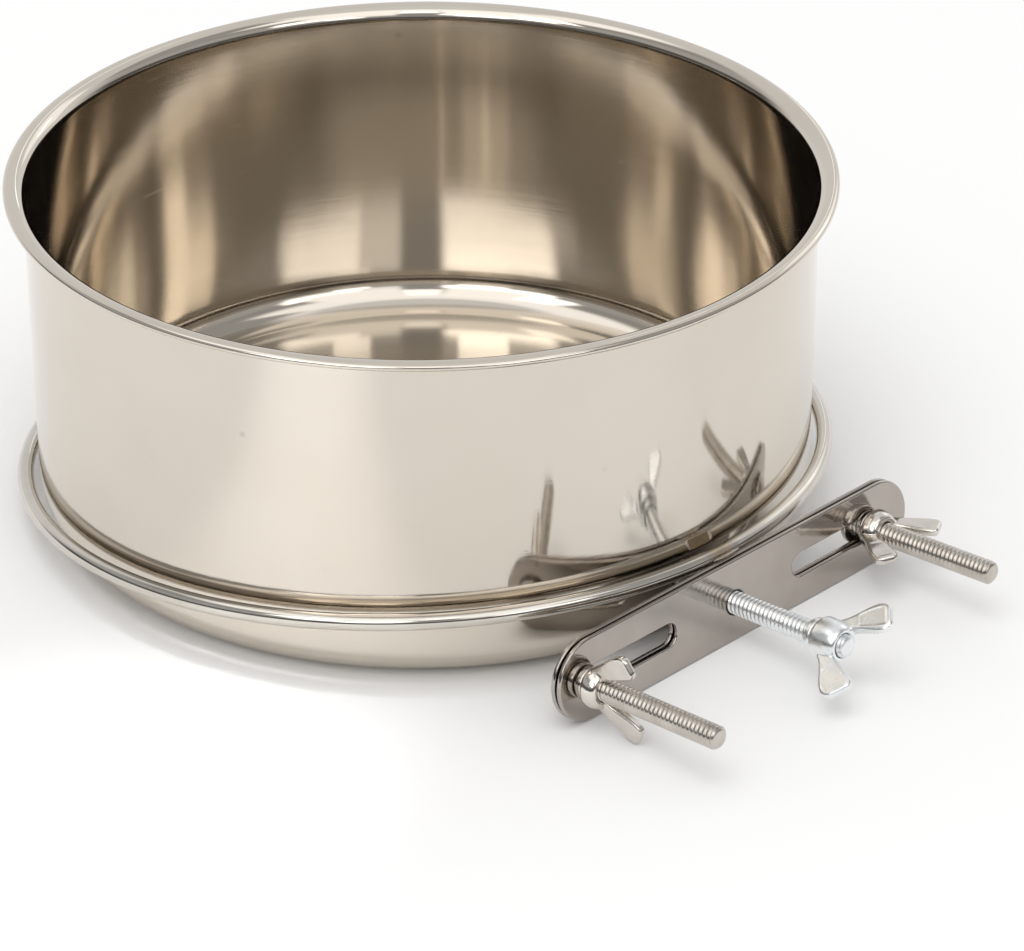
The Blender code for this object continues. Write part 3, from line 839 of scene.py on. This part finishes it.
def addEar(bm, n, angle):
    root = Vector((n["rootOut"], n["rootUp"]))
    run = Vector(n["tip"]) - root
    reach = run.length
    along = run.normalized()
    across = Vector((-along.y, along.x))
    outDir = Vector((math.cos(angle), math.sin(angle), 0))
    sideDir = Vector((-math.sin(angle), math.cos(angle), 0))
    rows, cols = n["earRows"], n["earCols"]
    rings = []
    for i in range(rows + 1):  # s runs along the ear, in closer steps near its tip
        s = -n["sink"] + (reach + n["sink"]) * (1 - (1 - i / rows) ** 1.35)
        wide = (n["neckWide"] + (n["earWide"] - n["neckWide"]) * smooth(1.0, reach * 0.8, s)) / 2
        over = s - (reach - n["corner"])
        if over > 0:
            wide += math.sqrt(max(0.0, n["corner"] ** 2 - over ** 2)) - n["corner"]
        outward = root.x + along.x * s
        thick = (n["rootThick"] + (n["tipThick"] - n["rootThick"]) * outward / n["tip"][0]) / 2
        thick *= math.sqrt(max(0.02, 1 - smooth(reach - 0.7, reach, s) ** 3))
        bend = n["bow"] * math.sin(math.pi * max(0.0, s) / reach)
        ring = []
        for k in range(2 * cols):
            side = 1 if k < cols else -1
            v = (1 - 2 * (k % cols + 0.5) / cols) * side  # across the ear, 1 and -1 at its edges
            height = thick * math.sqrt(max(0.0, 1 - abs(v) ** n["roundness"]))
            inside = smooth(reach * 0.3, reach * 0.42, s) * (1 - smooth(reach - 1.5, reach - 0.9, s))
            height -= n["panel"] * inside * (1 - smooth(0.5, 0.72, abs(v)))
            flat = root + along * s + across * (v * wide - bend)
            point = outDir * flat.x + Vector((0, 0, flat.y)) + sideDir * (height * side)
            ring.append(bm.verts.new(point * mm))
        rings.append(ring)
    for one, two in zip(rings, rings[1:]):
        joinRings(bm, one, two)
    bm.faces.new(rings[0])
    bm.faces.new(rings[-1])


def buildNut(n, side, name, body, node, material):
    points = [(n["bore"], 0.0)]
    points += arcPoints(n["base"] - n["foot"], n["foot"], n["foot"], -90, 0, n["footRows"])
    dome = n["tall"] - n["foot"]
    points += arcPoints(n["top"], n["foot"], n["base"] - n["top"], 0, 90, n["domeRows"], dome)
    points += [(n["bore"] + n["boreEdge"], n["tall"]), (n["bore"], n["tall"] - n["boreEdge"])]
    bm = spinProfile(points, n["hubSteps"], closed=True)
    for degrees in (n["turn"][side], n["turn"][side] + 180):
        addEar(bm, n, math.radians(degrees))
    mesh = modified(name, meshFrom(name, bm), oneSkin(n["voxel"], n["soften"]))
    addPiece(name, mesh, fastenerSpace(side, holder["nutOut"][side]), body, node, material)


buildNut(sideNut, "left", "leftWingNut", "left_nut", "left_wing_nut", nutSteel)
buildNut(sideNut, "right", "rightWingNut", "right_nut", "right_wing_nut", nutSteel)
buildNut(centreNut, "centre", "centreWingNut", "centre_nut", "centre_wing_nut", zincNut)
print("wing nuts built")


# floor, light and camera
studio = {
    "floor": (0.955, 0.955, 0.952), "floorSize": 12.0, "fill": 1.11,
    # what the metal sees: round the sides, then the pale backdrop and its foot
    "side": 0.58, "far": 1.0, "farFoot": 1.05, "farTurn": 130.0, "farEdge": (0.26, 0.64),
    # the dark front, low and in a gap higher up, and what is above
    "low": 0.13, "gap": 0.8, "overhead": 1.75, "farOverhead": 1.0, "zenith": 1.05,
    # degrees of elevation over which one passes into the next
    "footRise": (13, 19), "gapRise": (36, 39), "overheadRise": (47, 57), "zenithRise": (70, 76),
    # soft boxes: azimuth, half width, elevation, half height, softness in degrees, level
    "boxes": (
        (-68, 18.5, 31, 4.2, 5.5, 3.9), (-11, 13, 31.5, 4.5, 5.5, 3.0), (-30, 7, 31.5, 4.5, 5, 1.6),
        (-88, 9, 46, 11, 6, 3.4), (-70.5, 20, 50, 17, 6, 1.9), (-19, 18, 50, 17, 6, 1.8),
        (-62, 8, 25, 4, 2, 3.9), (-21, 6, 25, 4, 2, 2.7), (-43, 8, 52, 11, 5, 2.3), (0, 5, 37, 5, 4, 2.8),
        (98, 16, 26, 14, 10, 1.6), (98.5, 2.5, 24, 5, 2, 2.6), (124, 1.1, 30, 18, 1.5, 2.4),
    ),
    # dark shapes, given in the same way: one in front and one in a corner
    "blocks": ((-42.8, 5.8, 26.5, 12, 3, 0.47), (52, 22, 52, 18, 8, 0.5)),
}
softKey = {"place": (-0.55, -0.25, 1.4), "target": (0, 0, 0), "size": 1.1, "watts": 5.5}
floorStreak = {  # a narrow pool of light that the wall mirrors as a pale band
    "azimuth": -68, "near": 0.09, "far": 0.24, "wide": 0.02, "above": 0.3, "watts": 0.016, "spread": 20,
}
photoCamera = {
    "place": (-0.53083, -0.56086, 0.44507), "tilt": 60.0698, "turn": -44.7868,
    "lens": 147.586, "sensor": 36.0, "clip": (0.01, 50.0),
}


def buildFloor():
    bm = bmesh.new()
    bmesh.ops.create_grid(bm, x_segments=8, y_segments=8, size=studio["floorSize"] / 2)
    floor = bpy.data.objects.new("paleFloor", meshFrom("paleFloor", bm))
    scene.collection.objects.link(floor)
    material = bpy.data.materials.new("paleSweep")
    material.use_nodes = True
    shader = material.node_tree.nodes["Principled BSDF"]
    shader.inputs["Base Color"].default_value = (*studio["floor"], 1.0)
    shader.inputs["Roughness"].default_value = 0.9
    shader.inputs["Specular IOR Level"].default_value = 0.1
    floor.data.materials.append(material)


def buildWorld():
    world = bpy.data.worlds.new("studio")
    scene.world = world
    world.use_nodes = True
    tree = world.node_tree
    tree.nodes.clear()
    way = tree.nodes.new("ShaderNodeTexCoord").outputs["Generated"]
    parts = tree.nodes.new("ShaderNodeSeparateXYZ")
    tree.links.new(way, parts.inputs[0])
    x, y, z = parts.outputs
    turn = mathNode(tree, "ARCTAN2", x, mathNode(tree, "MULTIPLY", y, -1.0))
    turn = mathNode(tree, "MULTIPLY", turn, 180 / math.pi)
    rise = mathNode(tree, "MULTIPLY", mathNode(tree, "ARCSINE", z), 180 / math.pi)

    def boxMask(azimuth, wide, elevation, tall, soft):
        offSide = mathNode(tree, "ABSOLUTE", mathNode(tree, "SUBTRACT", turn, azimuth))
        offUp = mathNode(tree, "ABSOLUTE", mathNode(tree, "SUBTRACT", rise, elevation))
        one = rangeNode(tree, offSide, wide - soft / 2, wide + soft / 2, 1.0, 0.0)
        two = rangeNode(tree, offUp, tall - soft / 2, tall + soft / 2, 1.0, 0.0)
        return mathNode(tree, "MULTIPLY", one, two)

    def blend(share, one, two):
        return mathNode(tree, "MULTIPLY_ADD", share, mathNode(tree, "SUBTRACT", two, one), one)

    behind = mathNode(tree, "SUBTRACT", turn, studio["farTurn"])
    behind = mathNode(tree, "COSINE", mathNode(tree, "MULTIPLY", behind, math.pi / 180))
    behind = rangeNode(tree, behind, *studio["farEdge"])
    front = mathNode(tree, "SUBTRACT", 1.0, behind)
    level = blend(behind, studio["side"], studio["far"])
    shade = mathNode(tree, "MULTIPLY", rangeNode(tree, rise, *studio["gapRise"]), front)
    level = mathNode(tree, "MULTIPLY", level, blend(shade, 1.0, studio["gap"]))
    foot = blend(behind, studio["low"], studio["farFoot"])
    level = blend(rangeNode(tree, rise, *studio["footRise"], 1.0, 0.0), level, foot)
    above = blend(behind, studio["overhead"], studio["farOverhead"])
    level = blend(rangeNode(tree, rise, *studio["overheadRise"]), level, above)
    level = blend(rangeNode(tree, rise, *studio["zenithRise"]), level, studio["zenith"])
    for *where, strength in studio["boxes"]:
        box = mathNode(tree, "MULTIPLY", boxMask(*where), strength)
        level = mathNode(tree, "MAXIMUM", level, box)
    for *where, dark in studio["blocks"]:
        level = blend(boxMask(*where), level, dark)
    path = tree.nodes.new("ShaderNodeLightPath")
    seen = tree.nodes.new("ShaderNodeBackground")  # what metal reflects
    tree.links.new(level, seen.inputs["Strength"])
    white = tree.nodes.new("ShaderNodeBackground")  # behind the floor's far edge
    lit = tree.nodes.new("ShaderNodeBackground")  # what lights the floor
    lit.inputs["Strength"].default_value = studio["fill"]
    out = tree.nodes.new("ShaderNodeOutputWorld")
    one = tree.nodes.new("ShaderNodeMixShader")
    tree.links.new(path.outputs["Is Glossy Ray"], one.inputs[0])
    tree.links.new(lit.outputs[0], one.inputs[1])
    tree.links.new(seen.outputs[0], one.inputs[2])
    two = tree.nodes.new("ShaderNodeMixShader")
    tree.links.new(path.outputs["Is Camera Ray"], two.inputs[0])
    tree.links.new(one.outputs[0], two.inputs[1])
    tree.links.new(white.outputs[0], two.inputs[2])
    tree.links.new(two.outputs[0], out.inputs["Surface"])


def buildLamp(name, place, target, size, watts, long=None, spread=180):
    data = bpy.data.lights.new(name, "AREA")
    data.shape = "RECTANGLE" if long else "DISK"
    data.size = size
    data.size_y = long or size
    data.spread = math.radians(spread)
    data.energy = watts
    lamp = bpy.data.objects.new(name, data)
    scene.collection.objects.link(lamp)
    lamp.location = place
    lamp.rotation_euler = (Vector(target) - Vector(place)).to_track_quat("-Z", "Y").to_euler()
    lamp.visible_glossy = False
    return lamp


def buildFloorStreak(f):
    turn = math.radians(f["azimuth"])
    middle = (f["near"] + f["far"]) / 2
    spot = Vector((math.sin(turn) * middle, -math.cos(turn) * middle, 0.0))
    place = spot + Vector((0, 0, f["above"]))
    lamp = buildLamp("floorStreak", place, spot, f["wide"], f["watts"], f["far"] - f["near"], f["spread"])
    lamp.rotation_euler = (0, 0, turn)


def buildCamera(c):
    data = bpy.data.cameras.new("photoCamera")
    data.sensor_width = c["sensor"]
    data.lens = c["lens"]
    data.clip_start, data.clip_end = c["clip"]
    camera = bpy.data.objects.new("photoCamera", data)
    scene.collection.objects.link(camera)
    camera.location = c["place"]
    camera.rotation_euler = (math.radians(c["tilt"]), 0.0, math.radians(c["turn"]))
    scene.camera = camera


buildFloor()
buildWorld()
buildLamp("softKey", **softKey)
buildFloorStreak(floorStreak)
buildCamera(photoCamera)
scene.view_settings.view_transform = "Standard"
print("studio built")
